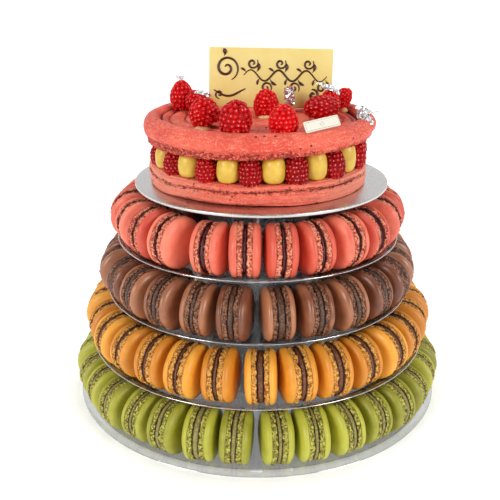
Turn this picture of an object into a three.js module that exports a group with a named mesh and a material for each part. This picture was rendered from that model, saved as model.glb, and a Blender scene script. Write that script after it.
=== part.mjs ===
// A macaron tower: four round clear plates stacked on drums, each with a ring of macarons
// standing on edge, and on top of them a large macaron cake on a silver board. The cake is
// filled with piped cream and raspberries, and carries raspberries, a plaque and a card.
//
// Units are millimetres, +Z is up and the front faces -Y. The origin is the centre of the
// bottom plate's underside. Angles round the tower start at the front and grow towards +X.
import * as THREE from 'three';
import { ParametricGeometry } from 'three/addons/geometries/ParametricGeometry.js';
import { mergeVertices } from 'three/addons/utils/BufferGeometryUtils.js';

// ---------------------------------------------------------------- driving dimensions

const clearance = 0.3;
const tierPitch = 46.75;

const roundSectors = 26;
const drumSectors = 20;
const upperShellSectors = 24;
const topBerrySectors = 7;
const ringBerrySectors = 6;

const plateFloor = 1.5;
const plateEdge = 1.2;
const beadFoot = 2;

const tiers = [
  {
    name: 'green', colour: 0xa9a443, macarons: 33, arcs: 5, breakAngle: -0.7,
    breakWidth: 3.6, ringRadius: 144.3, diameter: 44.3,
    plateRadius: 164.3, rimWidth: 6.5, beadHeight: 3.6, rimLift: 0,
  },
  {
    name: 'orange', colour: 0xd68a2e, macarons: 30, arcs: 5, breakAngle: -5.9,
    breakWidth: 3.6, ringRadius: 132.8, diameter: 44.3,
    plateRadius: 150, rimWidth: 4.5, beadHeight: 3.2, rimLift: 3.6,
  },
  {
    name: 'brown', colour: 0x8a5a43, macarons: 26, arcs: 4, breakAngle: -0.9,
    breakWidth: 3.6, ringRadius: 118.4, diameter: 43,
    plateRadius: 133.8, rimWidth: 4.5, beadHeight: 3.2, rimLift: 3.6,
  },
  {
    name: 'coral', colour: 0xee6a55, macarons: 24, arcs: 4, breakAngle: -29,
    breakWidth: 7.8, ringRadius: 106, diameter: 43,
    plateRadius: 123, rimWidth: 4.5, beadHeight: 3.2, rimLift: 3.6,
  },
];

const macaronSides = 8;
const macaronHalf = 12.7;
const faceRadius = 10;
const macaronEdgeHalf = 7;
const touchRadius = 13;
const touchShift = 3;

const wobbleTurn = 2.4;
const yawWobble = 3;
const leanWobble = 2;
const radialWobble = 0.8;
const sizeWobble = 0.6;

const drumBottomRadius = 46;
const drumTopRadius = 44;
const drumCapRadius = 66;
const drumCapThickness = 3;
const drumCapNeck = 1.5;

const boardRadius = 109;
const boardThickness = 2.8;
const boardShift = 3;
const boardUnderside = 4 * tierPitch + 2.7;

const lowerShellHeight = 16.8;
const fillingHeight = 19.7;
const fillingSlope = 0.036;
const upperShellHeight = 19.6;
const upperShellShift = 1.2;

const bulbCount = 15;
const bulbTurn = 7.7;
const bulbRingRadius = 83.4;
const bulbRadius = 9.2;
const creamCoreRadius = 72;
const ringBerryRadius = 8.8;
const ringBerryOffset = 85.3;

const spiralPitch = 13;
const spiralDepth = 4.2;
const spiralOuterRadius = 81;
const spiralInnerRadius = 5;
const spiralCrest = 15.7;
const spiralStart = 110;

const degree = Math.PI / 180;

// ---------------------------------------------------------------- shape helpers

// A point at this angle and radius, as x and y.
function polar(radius, angleDegrees) {
  const angle = angleDegrees * degree;
  return [radius * Math.sin(angle), -radius * Math.cos(angle)];
}

// A repeatable unevenness between -1 and 1 for the index-th of many like things.
function wobble(index, phase) {
  return Math.sin(wobbleTurn * index + phase);
}

function signedVolume(position, corners) {
  const [a, b, c] = [new THREE.Vector3(), new THREE.Vector3(), new THREE.Vector3()];
  let volume = 0;
  for (let i = 0; i < corners.length; i += 3) {
    a.fromBufferAttribute(position, corners[i]);
    b.fromBufferAttribute(position, corners[i + 1]);
    c.fromBufferAttribute(position, corners[i + 2]);
    volume += a.dot(b.cross(c)) / 6;
  }
  return volume;
}

// Joins the seams of a geometry, drops its empty triangles and turns its faces outwards.
function closed(geometry) {
  geometry.deleteAttribute('normal');
  geometry.deleteAttribute('uv');
  const merged = mergeVertices(geometry, 1e-3);
  const corners = [];
  const index = merged.index.array;
  for (let i = 0; i < index.length; i += 3) {
    const [a, b, c] = index.subarray(i, i + 3);
    if (a !== b && b !== c && c !== a) corners.push(a, b, c);
  }
  if (signedVolume(merged.attributes.position, corners) < 0) corners.reverse();
  merged.setIndex(corners);
  merged.computeVertexNormals();
  return merged;
}

// A solid of revolution about Z, from [radius, height] points that start and end on the axis.
function turned(profile, sectors) {
  const points = profile.map(([radius, height]) => new THREE.Vector2(radius, height));
  const geometry = new THREE.LatheGeometry(points, sectors);
  geometry.rotateX(Math.PI / 2);
  return closed(geometry);
}

// A closed skin: pointAt(aroundIndex, alongIndex) gives [x, y, z], and its first and last
// rings each shrink to a point.
function skin(pointAt, around, along) {
  const place = (u, v, target) => {
    target.set(...pointAt(Math.round(u * around) % around, Math.round(v * along)));
  };
  return closed(new ParametricGeometry(place, around, along));
}

function roundedSlab(width, height, thickness, corner) {
  const [x, y] = [width / 2, height / 2];
  const outline = new THREE.Shape();
  outline.moveTo(-x + corner, -y);
  outline.absarc(x - corner, -y + corner, corner, -Math.PI / 2, 0);
  outline.absarc(x - corner, y - corner, corner, 0, Math.PI / 2);
  outline.absarc(-x + corner, y - corner, corner, Math.PI / 2, Math.PI);
  outline.absarc(-x + corner, -y + corner, corner, Math.PI, 1.5 * Math.PI);
  const geometry = new THREE.ExtrudeGeometry(outline, {
    depth: thickness, bevelEnabled: false, curveSegments: 2,
  });
  geometry.translate(0, 0, -thickness / 2);
  return closed(geometry);
}

// ---------------------------------------------------------------- materials and assembly

const tower = new THREE.Group();

function finish(colour, roughness, metalness = 0) {
  return new THREE.MeshStandardMaterial({ color: colour, roughness, metalness });
}

const clearPlastic = finish(0xc3c6c8, 0.15);
clearPlastic.transparent = true;
clearPlastic.opacity = 0.35;
const silverCard = finish(0xc9c8c6, 0.3, 0.9);
const coralShell = finish(0xf07260, 0.7);
const cream = finish(0xf0d068, 0.45);
const berry = finish(0xb3121c, 0.45);
const paleChocolate = finish(0xf0da90, 0.4);
const ivoryCard = finish(0xe6e2d0, 0.5);

function add(name, geometry, material, parent = tower) {
  const mesh = new THREE.Mesh(geometry, material);
  mesh.name = name;
  parent.add(mesh);
  return mesh;
}

// ---------------------------------------------------------------- macarons

// Where one macaron of a ring stands: its centre, and the directions across its disc
// (out, up) and through its thickness (side).
function macaronPose(tier, index, angle) {
  const diameter = tier.diameter - sizeWobble * (1 + wobble(index, 1.3));
  const yaw = yawWobble * wobble(index, 0.4 + tier.macarons);
  const lean = leanWobble * wobble(index, 2.1 + tier.macarons) * degree;
  const radius = tier.ringRadius + radialWobble * wobble(index, 3.7);
  const [x, y] = polar(radius, angle);
  const centre = new THREE.Vector3(x, y, plateFloor + clearance + diameter / 2);
  const out = new THREE.Vector3(...polar(1, angle + yaw), 0);
  const side = new THREE.Vector3(...polar(1, angle + yaw + 90), 0);
  const up = new THREE.Vector3(0, 0, 1).applyAxisAngle(out, lean);
  side.applyAxisAngle(out, lean);
  return { centre, out, up, side, radius: diameter / 2 };
}

function ring(centre, pose, radius) {
  return { centre, out: pose.out, up: pose.up, radius };
}

// The patch where two neighbouring macarons press together.
function touchRing(first, second) {
  const middle = first.centre.clone().add(second.centre).multiplyScalar(0.5);
  const out = first.out.clone().add(second.out).normalize();
  const up = first.up.clone().add(second.up).normalize();
  middle.addScaledVector(out, -touchShift);
  return { centre: middle, out, up, radius: touchRadius };
}

// The rings that an arc of touching macarons is lofted through, from end to end.
function arcRings(poses) {
  const last = poses[poses.length - 1];
  const startFace = poses[0].centre.clone().addScaledVector(poses[0].side, -macaronHalf);
  const endFace = last.centre.clone().addScaledVector(last.side, macaronHalf);
  const rings = [ring(startFace, poses[0], 0), ring(startFace, poses[0], faceRadius)];
  poses.forEach((pose, i) => {
    if (i > 0) rings.push(touchRing(poses[i - 1], pose));
    for (const edge of [-macaronEdgeHalf, macaronEdgeHalf]) {
      rings.push(ring(pose.centre.clone().addScaledVector(pose.side, edge), pose, pose.radius));
    }
  });
  rings.push(ring(endFace, last, faceRadius), ring(endFace, last, 0));
  return rings;
}

function macaronArc(tier, firstIndex, count, startAngle, step) {
  const poses = [];
  for (let i = 0; i < count; i += 1) {
    poses.push(macaronPose(tier, firstIndex + i, startAngle + (i + 0.5) * step));
  }
  const rings = arcRings(poses);
  const pointAt = (corner, station) => {
    const { centre, out, up, radius } = rings[station];
    const turn = (2 * Math.PI * corner) / macaronSides;
    const point = centre.clone();
    point.addScaledVector(out, radius * Math.cos(turn));
    point.addScaledVector(up, radius * Math.sin(turn));
    return point.toArray();
  };
  return skin(pointAt, macaronSides, rings.length - 1);
}

// One tier's macarons, in arcs of touching macarons with a small break between arcs.
function addMacarons(tier, parent) {
  const breakAngle = tier.breakWidth / tier.ringRadius / degree;
  const step = (360 - tier.arcs * breakAngle) / tier.macarons;
  const material = finish(tier.colour, 0.55);
  let angle = tier.breakAngle;
  let placed = 0;
  for (let arc = 1; arc <= tier.arcs; arc += 1) {
    const count = Math.floor((arc * tier.macarons) / tier.arcs) - placed;
    const geometry = macaronArc(tier, placed, count, angle + breakAngle / 2, step);
    add(`${tier.name}_macarons_${arc}`, geometry, material, parent);
    placed += count;
    angle += breakAngle + count * step;
  }
}

// ---------------------------------------------------------------- stand

function plateGeometry(tier) {
  const bead = tier.plateRadius - tier.rimWidth;
  return turned([
    [0, 0],
    [bead - beadFoot, 0],
    [tier.plateRadius, tier.rimLift],
    [tier.plateRadius, tier.rimLift + plateEdge],
    [bead, tier.beadHeight],
    [bead - beadFoot, plateFloor],
    [0, plateFloor],
  ], roundSectors);
}

function drumGeometry(height, hasCap) {
  const neck = height - drumCapThickness - drumCapNeck;
  const cap = hasCap
    ? [[drumTopRadius, neck], [drumCapRadius, height - drumCapThickness], [drumCapRadius, height]]
    : [[drumTopRadius, height]];
  return turned([[0, 0], [drumBottomRadius, 0], ...cap, [0, height]], drumSectors);
}

function addTier(tier, level) {
  const isTop = level === tiers.length - 1;
  const group = new THREE.Group();
  group.position.z = level * tierPitch;
  tower.add(group);
  add(`${tier.name}_plate`, plateGeometry(tier), clearPlastic, group);
  const headroom = isTop ? boardUnderside - level * tierPitch : tierPitch;
  const drum = drumGeometry(headroom - plateFloor - 2 * clearance, isTop);
  add(`${tier.name}_drum`, drum, clearPlastic, group).position.z = plateFloor + clearance;
  addMacarons(tier, group);
}

// ---------------------------------------------------------------- cake

function lowerShellGeometry() {
  const top = lowerShellHeight;
  return turned([
    [0, 0], [90, 0], [93.5, 6], [92.4, 11.5], [93.5, top], [0, top],
  ], roundSectors);
}

// The filling's height at this x: it grows towards the right, under a shell that thins.
function fillingTop(x) {
  return fillingHeight + fillingSlope * x;
}

// Piped cream: a core with a barrel-shaped bulb every 24 degrees round its edge.
function fillingGeometry() {
  const outline = [
    { turn: -5.6, radius: bulbRingRadius },
    { turn: -3.2, radius: bulbRingRadius + 0.88 * bulbRadius },
    { turn: 3.2, radius: bulbRingRadius + 0.88 * bulbRadius },
    { turn: 5.6, radius: bulbRingRadius },
    { turn: 12, radius: creamCoreRadius },
  ];
  const levels = [
    { height: 0, inset: 2.5 }, { height: 0.45, inset: 0 }, { height: 1, inset: 1.5 },
  ];
  const pointAt = (corner, station) => {
    const { turn, radius } = outline[corner % outline.length];
    const period = Math.floor(corner / outline.length) * (360 / bulbCount);
    const level = levels[THREE.MathUtils.clamp(station - 1, 0, levels.length - 1)];
    const isEnd = station === 0 || station === levels.length + 1;
    const reach = isEnd ? 0 : radius - level.inset;
    const [x, y] = polar(reach, bulbTurn + period + turn);
    return [x, y, level.height * fillingTop(x)];
  };
  return skin(pointAt, outline.length * bulbCount, levels.length + 1);
}

// The upper shell, piped in a flat spiral: the rings of its top follow the spiral's crests
// and valleys, half a pitch apart, between the centre and the rounded rim. Its underside
// slopes with the filling, and its side takes up the slope.
function upperShellGeometry() {
  const sectors = upperShellSectors;
  const side = [
    [0, 0], [95, 0], [94.6, 4.5], [98.3, 9.5], [96.8, 15.4], [93, 18.6], [88.5, 19.6], [85, 16.6],
  ];
  const slopeRings = side.length - 2;
  const halfPitch = spiralPitch / 2;
  const spiralRings = Math.ceil(spiralOuterRadius / halfPitch) + 2;
  const topPoint = (sector, ringsIn) => {
    const part = sector / sectors;
    const free = spiralOuterRadius + spiralPitch * (1 - part) - ringsIn * halfPitch;
    const radius = THREE.MathUtils.clamp(free, spiralInnerRadius, spiralOuterRadius);
    const phase = (spiralOuterRadius - radius) / spiralPitch - part;
    const valley = 0.5 + 0.5 * Math.cos(2 * Math.PI * phase);
    return [...polar(radius, 360 * part + spiralStart), spiralCrest - spiralDepth * valley];
  };
  const pointAt = (sector, station) => {
    if (station < side.length) {
      const [radius, height] = side[station];
      const [x, y] = polar(radius, (360 * sector) / sectors + spiralStart);
      const share = station < slopeRings ? 1 - height / upperShellHeight : 0;
      return [x, y, height + share * fillingSlope * (x + upperShellShift)];
    }
    const ringsIn = station - side.length;
    if (ringsIn > spiralRings) return [0, 0, spiralCrest];
    return topPoint(sector, ringsIn);
  };
  return skin(pointAt, sectors, side.length + spiralRings + 1);
}

// A raspberry with its open end down at z = 0 and its tip up.
function berryGeometry(length, width, sectors) {
  const radius = width / 2;
  return turned([
    [0, 0],
    [0.76 * radius, 0],
    [radius, 0.32 * length],
    [0.74 * radius, 0.76 * length],
    [0, length],
  ], sectors);
}

function addRingBerries(parent) {
  for (let i = 0; i < bulbCount; i += 1) {
    const [x, y] = polar(ringBerryOffset, bulbTurn + (i + 0.5) * (360 / bulbCount));
    const geometry = berryGeometry(fillingTop(x), 2 * ringBerryRadius, ringBerrySectors);
    add(`filling_berry_${i + 1}`, geometry, berry, parent).position.set(x, y, 0);
  }
}

// ---------------------------------------------------------------- toppings

// Each raspberry on the cake: centre, length, width, and where its tip points, as a tilt
// from upright and a direction round the cake.
const toppingBerries = [
  { x: -17.3, y: -72, length: 26.2, width: 25.6, tilt: 4, towards: 30 },
  { x: 18, y: -73.2, length: 22.8, width: 23.2, tilt: 5, towards: -60 },
  { x: 7, y: 1, length: 22.6, width: 22, tilt: 6, towards: 0 },
  { x: -67.2, y: 32.4, length: 25.6, width: 21.4, tilt: 4, towards: -90 },
  { x: -53, y: 14, length: 22, width: 19.6, tilt: 84, towards: 0 },
  { x: -44.6, y: -45, length: 22.6, width: 25.2, tilt: 22, towards: -100 },
  { x: 47.4, y: -23, length: 29.5, width: 20.8, tilt: 84, towards: -62 },
  { x: 62, y: 9.5, length: 21.4, width: 18, tilt: 5, towards: 90 },
  { x: 76.6, y: 29.6, length: 21.2, width: 16.2, tilt: 42, towards: 60 },
];

function addToppingBerries(parent) {
  toppingBerries.forEach(({ x, y, length, width, tilt, towards }, i) => {
    const geometry = berryGeometry(length, width, topBerrySectors);
    geometry.translate(0, 0, -length / 2);
    const axis = new THREE.Vector3(...polar(1, towards + 90), 0);
    const turn = new THREE.Matrix4().makeRotationAxis(axis, tilt * degree);
    geometry.applyMatrix4(turn);
    geometry.computeBoundingBox();
    const mesh = add(`top_berry_${i + 1}`, geometry, berry, parent);
    mesh.position.set(x, y, clearance - geometry.boundingBox.min.z);
  });
}

const plaque = {
  width: 108, height: 51, thickness: 3.6, x: 11.6, y: 31.5, lean: 7, roll: 1.5, yaw: 4,
};
const card = {
  width: 33.6, height: 8.6, thickness: 0.8, x: 47.5, y: -76, yaw: 33, tilt: 60, roll: 4.4,
  lift: 8.2,
};

function addPlaque(parent) {
  const geometry = roundedSlab(plaque.width, plaque.height, plaque.thickness, 1.5);
  geometry.rotateZ(-plaque.roll * degree);
  geometry.rotateX((90 - plaque.lean) * degree);
  geometry.rotateZ(plaque.yaw * degree);
  geometry.computeBoundingBox();
  const mesh = add('plaque', geometry, paleChocolate, parent);
  mesh.position.set(plaque.x, plaque.y, clearance - geometry.boundingBox.min.z);
}

function addCard(parent) {
  const geometry = roundedSlab(card.width, card.height, card.thickness, 1.6);
  geometry.rotateZ(card.roll * degree);
  geometry.rotateX(card.tilt * degree);
  geometry.rotateZ(card.yaw * degree);
  const mesh = add('card', geometry, ivoryCard, parent);
  mesh.position.set(card.x, card.y, card.lift);
}

function addCake() {
  const group = new THREE.Group();
  group.position.z = boardUnderside;
  tower.add(group);
  const board = turned([
    [0, 0], [boardRadius, 0], [boardRadius, boardThickness], [0, boardThickness],
  ], roundSectors);
  add('board', board, silverCard, group).position.x = boardShift;

  const lowerShellZ = boardThickness + clearance;
  const fillingZ = lowerShellZ + lowerShellHeight + clearance;
  const upperShellZ = fillingZ + fillingHeight + clearance;
  add('lower_shell', lowerShellGeometry(), coralShell, group).position.z = lowerShellZ;
  add('cream_filling', fillingGeometry(), cream, group).position.z = fillingZ;
  const berryRing = new THREE.Group();
  berryRing.position.z = fillingZ;
  group.add(berryRing);
  addRingBerries(berryRing);
  const upperShell = add('upper_shell', upperShellGeometry(), coralShell, group);
  upperShell.position.set(upperShellShift, 0, upperShellZ);

  const toppings = new THREE.Group();
  toppings.position.z = upperShellZ + spiralCrest;
  group.add(toppings);
  addToppingBerries(toppings);
  addPlaque(toppings);
  addCard(toppings);
}

// ---------------------------------------------------------------- the whole tower

tiers.forEach(addTier);
addCake();

export default tower;
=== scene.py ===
import math
import random

import bmesh
import bpy
import numpy as np
from mathutils import Euler, Matrix, Vector


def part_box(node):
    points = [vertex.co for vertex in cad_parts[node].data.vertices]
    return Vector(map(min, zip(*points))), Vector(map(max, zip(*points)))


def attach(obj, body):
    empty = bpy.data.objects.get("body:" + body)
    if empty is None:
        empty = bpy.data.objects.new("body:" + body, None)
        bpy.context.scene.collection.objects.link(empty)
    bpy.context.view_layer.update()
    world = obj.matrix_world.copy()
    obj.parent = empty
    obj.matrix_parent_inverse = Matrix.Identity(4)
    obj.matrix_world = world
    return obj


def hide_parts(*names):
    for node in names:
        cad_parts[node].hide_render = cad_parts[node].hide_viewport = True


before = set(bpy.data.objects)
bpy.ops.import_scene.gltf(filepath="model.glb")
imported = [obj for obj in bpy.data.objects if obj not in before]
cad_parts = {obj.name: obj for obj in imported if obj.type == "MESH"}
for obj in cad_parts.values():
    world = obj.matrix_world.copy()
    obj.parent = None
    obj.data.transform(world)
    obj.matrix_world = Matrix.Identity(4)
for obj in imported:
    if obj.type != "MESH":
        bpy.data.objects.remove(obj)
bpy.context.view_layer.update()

# A macaron tower: four clear plates on drums, each with its ring of macarons standing on
# edge, and a large piped macaron cake with cream and raspberries on top. Sizes below are in
# millimetres in the frame of the solids: +Z up, front -Y, angles from the front towards +X.

MM = 0.001

TIER_PITCH = 46.75
PLATE_FLOOR = 1.5
PLATE_EDGE = 1.2
CLEARANCE = 0.3

TIERS = [
    dict(name="green", macarons=33, arcs=5, break_angle=-0.7, break_width=3.6, ring=144.1,
         diameter=43.7, plate=164.3, rim=6.5, bead=3.6, lift=0.0, slot="pistachio_shell",
         gaps=(1.5, 1.9, 2.4), kinds=(0, 1, 1, 2), reach=20.7),
    dict(name="orange", macarons=30, arcs=5, break_angle=-5.9, break_width=3.6, ring=132.8,
         diameter=44.3, plate=150.0, rim=4.5, bead=3.2, lift=3.6, slot="caramel_shell",
         gaps=(1.4, 1.9, 2.5), kinds=(0, 1, 2), reach=20.0),
    dict(name="brown", macarons=26, arcs=4, break_angle=-0.9, break_width=3.6, ring=118.4,
         diameter=43.0, plate=133.8, rim=4.5, bead=3.2, lift=3.6, slot="chocolate_shell",
         gaps=(1.5, 2.1, 2.8), kinds=(0, 1, 1, 2), reach=20.9),
    dict(name="coral", macarons=24, arcs=4, break_angle=-29.0, break_width=7.8, ring=106.0,
         diameter=43.0, plate=123.0, rim=4.5, bead=3.2, lift=3.6, slot="coral_shell",
         gaps=(1.3, 2.0, 3.0), kinds=(0, 0, 1, 2, 2), reach=19.6),
]

DRUM_BOTTOM = 46.0
DRUM_TOP = 44.0
DRUM_WALL = 2.0
DRUM_CAP = 66.0

BOARD_UNDER = 4 * TIER_PITCH + 2.7
BOARD_RADIUS = 109.0
BOARD_THICK = 2.8
BOARD_SHIFT = 3.0

LOWER_SHELL_Z = BOARD_UNDER + BOARD_THICK + CLEARANCE
LOWER_SHELL_HIGH = 16.8
FILLING_Z = LOWER_SHELL_Z + LOWER_SHELL_HIGH + CLEARANCE
FILLING_HIGH = 19.7
FILLING_SLOPE = 0.036
UPPER_SHELL_Z = FILLING_Z + FILLING_HIGH + CLEARANCE
UPPER_SHELL_HIGH = 19.6
UPPER_SHELL_SHIFT = 1.2
SPIRAL_CREST = 15.7
TOPPING_Z = UPPER_SHELL_Z + SPIRAL_CREST

BULBS = 15
BULB_TURN = 7.7
BULB_RING = 83.4
BULB_RADIUS = 9.2
BULB_STEP = 6.5
RING_BERRY_RING = 84.9
RING_BERRY_STEP = 1.5
RING_BERRY_SINK = 0.5
# The berries are pressed into the shells, so each is longer than the gap by this much.
RING_BERRY_PRESS = 1.12


# ---- node trees as expressions

def light(levels, part=1.0):
    """Linear light from display levels of 0 to 255, darkened to a part of it."""
    def linear(level):
        level /= 255
        return level / 12.92 if level <= 0.04045 else ((level + 0.055) / 1.055) ** 2.4
    return (*(part * linear(level) for level in levels), 1.0)


def operator(name, swapped=False):
    """A method that joins a wire and another value by a Math node."""
    def joining(wire, other):
        pair = (other, wire) if swapped else (wire, other)
        return wire.graph.math(name, *pair)
    return joining


class Wire:
    """One socket of a node tree; arithmetic on it adds Math nodes."""

    __add__ = __radd__ = operator("ADD")
    __sub__ = operator("SUBTRACT")
    __rsub__ = operator("SUBTRACT", swapped=True)
    __mul__ = __rmul__ = operator("MULTIPLY")
    __truediv__ = operator("DIVIDE")
    __gt__ = operator("GREATER_THAN")

    def __init__(self, graph, socket):
        self.graph = graph
        self.socket = socket


class Graph:
    """A shader or geometry node tree, built by expressions."""

    def __init__(self, tree):
        self.tree = tree

    def feed(self, socket, value):
        if isinstance(value, Wire):
            self.tree.links.new(value.socket, socket)
        else:
            socket.default_value = value

    def node(self, kind, feeds=None, settings=None, out=0):
        """Adds a node with its inputs, by name or number, and its settings."""
        made = self.tree.nodes.new(kind)
        for name, value in (settings or {}).items():
            setattr(made, name, value)
        for key, value in (feeds or {}).items():
            self.feed(made.inputs[key], value)
        return Wire(self, made.outputs[out])

    def math(self, operation, *values):
        return self.node("ShaderNodeMath", dict(enumerate(values)), {"operation": operation})

    def vector(self, operation, *values):
        feeds = dict(enumerate(values))
        return self.node("ShaderNodeVectorMath", feeds, {"operation": operation})

    def scaled(self, vector, amount):
        feeds = {"Vector": vector, "Scale": amount}
        return self.node("ShaderNodeVectorMath", feeds, {"operation": "SCALE"})

    def mix(self, factor, first, second):
        """From first to second, each a wire, a light or three display levels."""
        first, second = (light(tint) if isinstance(tint, tuple) and len(tint) == 3 else tint
                         for tint in (first, second))
        feeds = {0: factor, 6: first, 7: second}
        settings = {"data_type": "RGBA", "clamp_factor": True}
        return self.node("ShaderNodeMix", feeds, settings, out=2)

    def smooth(self, value, low, high):
        """0 below low and 1 above high, with a soft step between."""
        feeds = {"Value": value, "From Min": low, "From Max": high}
        return self.node("ShaderNodeMapRange", feeds, {"interpolation_type": "SMOOTHSTEP"})


class Finish(Graph):
    """A material: one Principled shader whose varying inputs come from expressions."""

    def __init__(self, name, **constants):
        self.material = bpy.data.materials.new(name)
        self.material.use_nodes = True
        super().__init__(self.material.node_tree)
        self.shader = self.tree.nodes["Principled BSDF"]
        for key, value in constants.items():
            self.shader.inputs[key.replace("_", " ")].default_value = value
        self.here = self.node("ShaderNodeTexCoord", out="Object")

    def noise(self, per_mm, detail=2.0, rough=0.5):
        feeds = {"Vector": self.here, "Scale": per_mm / MM, "Detail": detail,
                 "Roughness": rough}
        return self.node("ShaderNodeTexNoise", feeds, {"noise_dimensions": "4D"})

    def stretched(self, per_mm, squeeze):
        """Noise squeezed along the axes whose factor is over 1."""
        feeds = {"Vector": self.vector("MULTIPLY", self.here, squeeze), "Scale": per_mm / MM,
                 "Detail": 3.0}
        return self.node("ShaderNodeTexNoise", feeds)

    def cells(self, per_mm, out="Distance"):
        feeds = {"Vector": self.here, "Scale": per_mm / MM}
        return self.node("ShaderNodeTexVoronoi", feeds, {"feature": "F1"}, out)

    def attribute(self, name):
        return self.node("ShaderNodeAttribute", None, {"attribute_name": name}, "Fac")

    def set(self, name, value):
        self.feed(self.shader.inputs[name], value)

    def bump(self, height, depth_mm):
        feeds = {"Strength": 1.0, "Distance": depth_mm * MM, "Height": height}
        self.set("Normal", self.node("ShaderNodeBump", feeds))


# ---- meshes

def polar(radius, degrees):
    angle = math.radians(degrees)
    return radius * math.sin(angle), -radius * math.cos(angle)


def smoothstep(value, low, high):
    t = np.clip((value - low) / (high - low), 0, 1)
    return t * t * (3 - 2 * t)


def between(value, low, full, fade, high):
    """1 from full to fade, falling softly to 0 at low and at high."""
    return smoothstep(value, low, full) * smoothstep(-value, -high, -fade)


def linked(name, data):
    """A new object at the origin, in the scene."""
    made = bpy.data.objects.new(name, data)
    bpy.context.scene.collection.objects.link(made)
    return made


def discard(*objects):
    for used in objects:
        bpy.data.objects.remove(used)


def new_mesh(name, points, edges=(), faces=(), **attributes):
    """A mesh from points in millimetres, with an attribute for each list of values.

    Rows of values give a vector attribute, and only kind holds whole numbers.
    """
    mesh = bpy.data.meshes.new(name)
    mesh.from_pydata((np.asarray(points, float) * MM).tolist(), edges, faces)
    for key, values in attributes.items():
        values = np.asarray(values)
        kind = "FLOAT_VECTOR" if values.ndim > 1 else "INT" if key == "kind" else "FLOAT"
        layer = mesh.attributes.new(key, kind, "POINT")
        layer.data.foreach_set("vector" if values.ndim > 1 else "value", values.ravel().tolist())
    return mesh


def new_piece(name, points, faces, smooth=True, **attributes):
    mesh = new_mesh(name, points, (), faces, **attributes)
    mesh.polygons.foreach_set("use_smooth", [smooth] * len(mesh.polygons))
    return linked(name, mesh)


def laced(rows):
    """Faces of a closed skin of rings of these many points; a ring may halve the one before."""
    faces, low = [], 0
    for count, over in zip(rows, rows[1:]):
        high, halved = low + count, count > over > 1
        for i in range(over if halved else max(count, over)):
            j = (i + 1) % (over if over > 1 else count)
            if count == 1:
                faces.append((low, high + j, high + i))
            elif over == 1:
                faces.append((high, low + i, low + j))
            elif over == count:
                faces.append((low + i, low + j, high + j, high + i))
            else:
                first, middle, last = low + 2 * i, low + 2 * i + 1, low + (2 * i + 2) % count
                faces.extend([(first, middle, high + i), (middle, high + j, high + i),
                              (middle, last, high + j)])
        low = high
    return faces


def ring_faces(rings, sectors):
    """Faces of a closed skin of equal rings between two poles."""
    return laced([1, *[sectors] * rings, 1])


def turned_points(profile, sectors, reach):
    """Points of a solid of revolution from (radius, height) pairs whose ends are on the axis.

    Where given, reach makes the radius differ round the axis.
    """
    angles = np.linspace(0, 2 * math.pi, sectors, endpoint=False)
    points = [(0, 0, profile[0][1])]
    for radius, height in profile[1:-1]:
        around = radius if reach is None else reach(radius, height, angles)
        x = around * np.sin(angles)
        y = -around * np.cos(angles)
        points.extend(zip(x, y, np.full(sectors, height)))
    points.append((0, 0, profile[-1][1]))
    return np.array(points, float)


def turned(name, profile, sectors, reach=None, **masks):
    """A turned piece; each mask gives a float attribute from radius and height."""
    points = turned_points(profile, sectors, reach)
    radius = np.hypot(points[:, 0], points[:, 1])
    made = {key: mask(radius, points[:, 2]) for key, mask in masks.items()}
    return new_piece(name, points, ring_faces(len(profile) - 2, sectors), **made)


def rounded(corners, steps):
    """A smooth line through the corners, with this many steps between neighbours."""
    ends = [corners[0], *corners, corners[-1]]
    line = []
    for a, b, c, d in zip(ends, ends[1:], ends[2:], ends[3:]):
        a, b, c, d = (np.array(p, float) for p in (a, b, c, d))
        for t in np.arange(steps) / steps:
            line.append(0.5 * (2 * b + (c - a) * t + (2 * a - 5 * b + 4 * c - d) * t**2
                               + (3 * b - a - 3 * c + d) * t**3))
    line.append(np.array(corners[-1], float))
    return [(max(0.0, p[0]), p[1]) for p in line]


def moved(made, offset):
    made.data.transform(Matrix.Translation(Vector(offset) * MM))
    return made


def joined(name, parts):
    """One piece from several, which are used up."""
    builder = bmesh.new()
    for part in parts:
        builder.from_mesh(part.data)
    discard(*parts)
    mesh = bpy.data.meshes.new(name)
    builder.to_mesh(mesh)
    builder.free()
    return linked(name, mesh)


def place(made, slot, *nodes, finish=None):
    """Hands a piece to the frame, in its finish if it has none yet."""
    if finish:
        made.data.materials.append(finish)
    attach(made, "root")
    if nodes:
        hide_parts(*nodes)


def nodes_named(start):
    return [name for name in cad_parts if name.startswith(start)]


# ---- geometry node trees

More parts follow.
